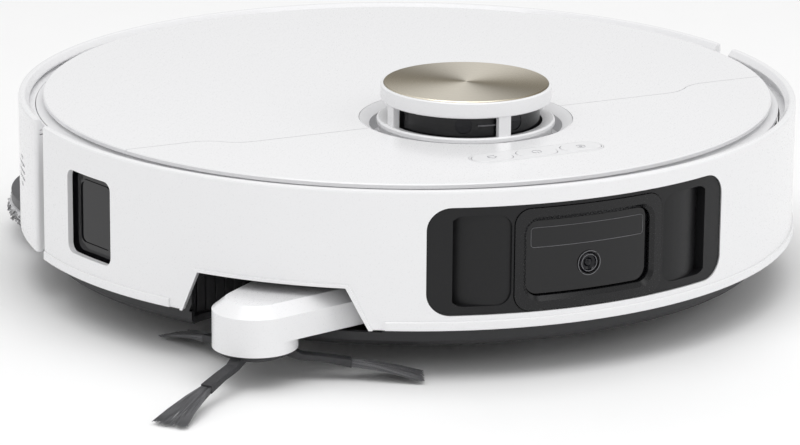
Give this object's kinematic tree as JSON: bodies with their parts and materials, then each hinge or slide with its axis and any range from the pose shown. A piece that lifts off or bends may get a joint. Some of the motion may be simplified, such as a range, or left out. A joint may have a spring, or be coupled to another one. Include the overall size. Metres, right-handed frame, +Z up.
{
  "type": "robotic floor cleaner",
  "caption": "Round robotic floor cleaner with raised lidar turret, swing-out side brush, twin rubber rollers and two spinning mop discs, one swung out.",
  "frame": {"origin": "point on the floor under the axis of the round body", "axes": "+Z up; the front of the machine is -Y and its right-hand side is -X"},
  "size_m": [0.3701, 0.3515, 0.0987],
  "materials": {
    "white_shell": "satin gloss white",
    "white_deck": "matt white",
    "dark_tray": "fine-textured black",
    "bezel_black": "fine-textured black",
    "frame_black": "satin black",
    "window_black": "high gloss black",
    "lens_glass": "coated lens",
    "gold_metal": "spun champagne gold",
    "rotor_black": "satin black",
    "button_white": "satin light grey",
    "inner_grey": "matt grey",
    "motor_steel": "brushed zinc",
    "gear_nylon": "natural nylon",
    "roller_core": "matt dark grey",
    "roller_rubber": "soft rubber",
    "tyre_rubber": "moulded rubber",
    "hub_grey": "matt dark grey",
    "brush_rubber": "soft black rubber",
    "bristle": "nylon bristle",
    "mop_fabric": "looped microfibre",
    "plate_grey": "matt dark grey",
    "dust_smoke": "smoked",
    "tank_smoke": "smoked",
    "battery_blue": "shrink-wrapped cells",
    "board_green": "solder mask",
    "contact_metal": "plated steel",
    "screw_steel": "zinc-plated steel",
    "sensor_dark": "infrared window"
  },
  "bodies": {
    "chassis": {"base_tray": "dark_tray", "rear_shell": "white_shell", "mid_deck": "white_deck", "front_cover": "white_shell", "button_bezel": "button_white", "lift_motor": "motor_steel", "sensor_housing": "frame_black", "sensor_glass": "window_black", "camera_lens": "lens_glass", "arm_motor": "motor_steel", "bay_liner": "dark_tray", "brush_housing": "inner_grey", "brush_motor": "motor_steel", "mop_swing_motor": "motor_steel", "fan_housing": "inner_grey", "water_tank": "tank_smoke", "battery_pack": "battery_blue", "main_board": "board_green", "charging_contacts": "contact_metal", "cliff_sensors": "sensor_dark", "tray_screws": "screw_steel"},
    "bumper": {"bumper_shell": "white_shell", "bumper_bezel": "bezel_black", "window_frame": "frame_black", "side_windows": "window_black"},
    "rear_lid": {"rear_lid": "white_shell"},
    "dust_box": {"dust_box": "dust_smoke"},
    "button_home": {"button_home": "button_white"},
    "button_power": {"button_power": "button_white"},
    "button_spot": {"button_spot": "button_white"},
    "turret": {"turret_cup": "white_shell", "turret_cap": "white_shell", "turret_disc": "gold_metal"},
    "lidar_rotor": {"lidar_rotor": "rotor_black", "lidar_lenses": "lens_glass"},
    "lift_pinion": {"lift_pinion": "gear_nylon"},
    "side_brush_arm": {"side_brush_arm": "white_shell", "side_brush_motor": "inner_grey"},
    "side_brush": {"side_brush_hub": "brush_rubber", "side_brush_bristles": "bristle"},
    "front_roller": {"front_roller": "roller_core", "front_roller_fins": "roller_rubber"},
    "rear_roller": {"rear_roller": "roller_core", "rear_roller_fins": "roller_rubber"},
    "left_wheel_arm": {"left_wheel_arm": "hub_grey"},
    "right_wheel_arm": {"right_wheel_arm": "hub_grey"},
    "left_wheel": {"left_wheel_rim": "hub_grey", "left_tyre": "tyre_rubber"},
    "right_wheel": {"right_wheel_rim": "hub_grey", "right_tyre": "tyre_rubber"},
    "caster_fork": {"caster_fork": "hub_grey"},
    "caster_wheel": {"caster_wheel": "roller_core"},
    "left_mop_carrier": {"left_mop_gearbox": "inner_grey"},
    "left_mop": {"left_mop_plate": "plate_grey", "left_mop_pad": "mop_fabric"},
    "mop_arm": {"mop_arm": "inner_grey"},
    "right_mop_carrier": {"right_mop_gearbox": "inner_grey"},
    "right_mop": {"right_mop_plate": "plate_grey", "right_mop_pad": "mop_fabric"},
    "fan_impeller": {"fan_impeller": "gear_nylon"}
  },
  "joints": [
    {"name": "bumper_press", "type": "slide", "parent": "chassis", "child": "bumper", "axis": [0, 1, 0], "range_m": [0, 0.0045], "stiffness_N_per_m": 400, "springref_m": -0.001},
    {"name": "side_brush_arm_swing", "type": "hinge", "parent": "chassis", "child": "side_brush_arm", "pos_m": [-0.07, -0.122, 0.027], "axis": [0, 0, 1], "range_deg": [-27, 0]},
    {"name": "side_brush_spin", "type": "hinge", "parent": "side_brush_arm", "child": "side_brush", "pos_m": [-0.1325, -0.1265, 0.011], "axis": [0, 0, 1], "continuous": true},
    {"name": "turret_lift", "type": "slide", "parent": "chassis", "child": "turret", "axis": [0, 0, 1], "range_m": [-0.0165, 0]},
    {"name": "lidar_spin", "type": "hinge", "parent": "turret", "child": "lidar_rotor", "pos_m": [0, -0.058, 0.08], "axis": [0, 0, 1], "continuous": true},
    {"name": "lift_pinion_turn", "type": "hinge", "parent": "chassis", "child": "lift_pinion", "pos_m": [0, -0.1078, 0.05], "axis": [1, 0, 0], "range_deg": [-124, 1]},
    {"name": "rear_lid_lift", "type": "slide", "parent": "chassis", "child": "rear_lid", "axis": [0, 0, 1], "range_m": [0, 0.09]},
    {"name": "dust_box_lift", "type": "slide", "parent": "chassis", "child": "dust_box", "axis": [0, 0, 1], "range_m": [0, 0.045]},
    {"name": "button_home_press", "type": "slide", "parent": "chassis", "child": "button_home", "axis": [0, 0, -1], "range_m": [0, 0.0006], "stiffness_N_per_m": 500, "springref_m": -0.0006},
    {"name": "button_power_press", "type": "slide", "parent": "chassis", "child": "button_power", "axis": [0, 0, -1], "range_m": [0, 0.0006], "stiffness_N_per_m": 500, "springref_m": -0.0006},
    {"name": "button_spot_press", "type": "slide", "parent": "chassis", "child": "button_spot", "axis": [0, 0, -1], "range_m": [0, 0.0006], "stiffness_N_per_m": 500, "springref_m": -0.0006},
    {"name": "left_wheel_drop", "type": "hinge", "parent": "chassis", "child": "left_wheel_arm", "pos_m": [0.1055, -0.062, 0.038], "axis": [1, 0, 0], "range_deg": [-15, 0], "stiffness_Nm_per_rad": 0.35, "springref_deg": -34.38},
    {"name": "left_wheel_roll", "type": "hinge", "parent": "left_wheel_arm", "child": "left_wheel", "pos_m": [0.125, -0.01, 0.034], "axis": [1, 0, 0], "continuous": true},
    {"name": "right_wheel_drop", "type": "hinge", "parent": "chassis", "child": "right_wheel_arm", "pos_m": [-0.1055, -0.062, 0.038], "axis": [1, 0, 0], "range_deg": [-15, 0], "stiffness_Nm_per_rad": 0.35, "springref_deg": -34.38},
    {"name": "right_wheel_roll", "type": "hinge", "parent": "right_wheel_arm", "child": "right_wheel", "pos_m": [-0.125, -0.01, 0.034], "axis": [1, 0, 0], "continuous": true},
    {"name": "caster_swivel", "type": "hinge", "parent": "chassis", "child": "caster_fork", "pos_m": [0, -0.127, 0.03], "axis": [0, 0, 1], "continuous": true},
    {"name": "caster_roll", "type": "hinge", "parent": "caster_fork", "child": "caster_wheel", "pos_m": [0, -0.121, 0.013], "axis": [1, 0, 0], "continuous": true},
    {"name": "front_roller_spin", "type": "hinge", "parent": "chassis", "child": "front_roller", "pos_m": [0, -0.054, 0.018], "axis": [1, 0, 0], "continuous": true},
    {"name": "rear_roller_spin", "type": "hinge", "parent": "chassis", "child": "rear_roller", "pos_m": [0, -0.02, 0.018], "axis": [1, 0, 0], "continuous": true},
    {"name": "left_mop_lift", "type": "slide", "parent": "chassis", "child": "left_mop_carrier", "axis": [0, 0, 1], "range_m": [-0.0105, 0]},
    {"name": "left_mop_spin", "type": "hinge", "parent": "left_mop_carrier", "child": "left_mop", "pos_m": [0.073, 0.082, 0.02], "axis": [0, 0, 1], "continuous": true},
    {"name": "right_mop_swing", "type": "hinge", "parent": "chassis", "child": "mop_arm", "pos_m": [-0.0325, 0.1122, 0.03], "axis": [0, 0, 1], "range_deg": [0, 16.8]},
    {"name": "right_mop_lift", "type": "slide", "parent": "mop_arm", "child": "right_mop_carrier", "axis": [0, 0, 1], "range_m": [-0.0105, 0]},
    {"name": "right_mop_spin", "type": "hinge", "parent": "right_mop_carrier", "child": "right_mop", "pos_m": [-0.08, 0.095, 0.02], "axis": [0, 0, 1], "continuous": true},
    {"name": "fan_spin", "type": "hinge", "parent": "chassis", "child": "fan_impeller", "pos_m": [0.106, 0.066, 0.055], "axis": [0, 0, 1], "continuous": true}
  ],
  "couplings": [
    {"joint": "lift_pinion_turn", "follows": "turret_lift", "rad_per_m": 128.21},
    {"joint": "dust_box_lift", "follows": "rear_lid_lift", "ratio": 0.5},
    {"joint": "rear_roller_spin", "follows": "front_roller_spin", "ratio": -1},
    {"joint": "right_mop_lift", "follows": "left_mop_lift", "ratio": 1},
    {"joint": "right_mop_spin", "follows": "left_mop_spin", "ratio": -1}
  ]
}
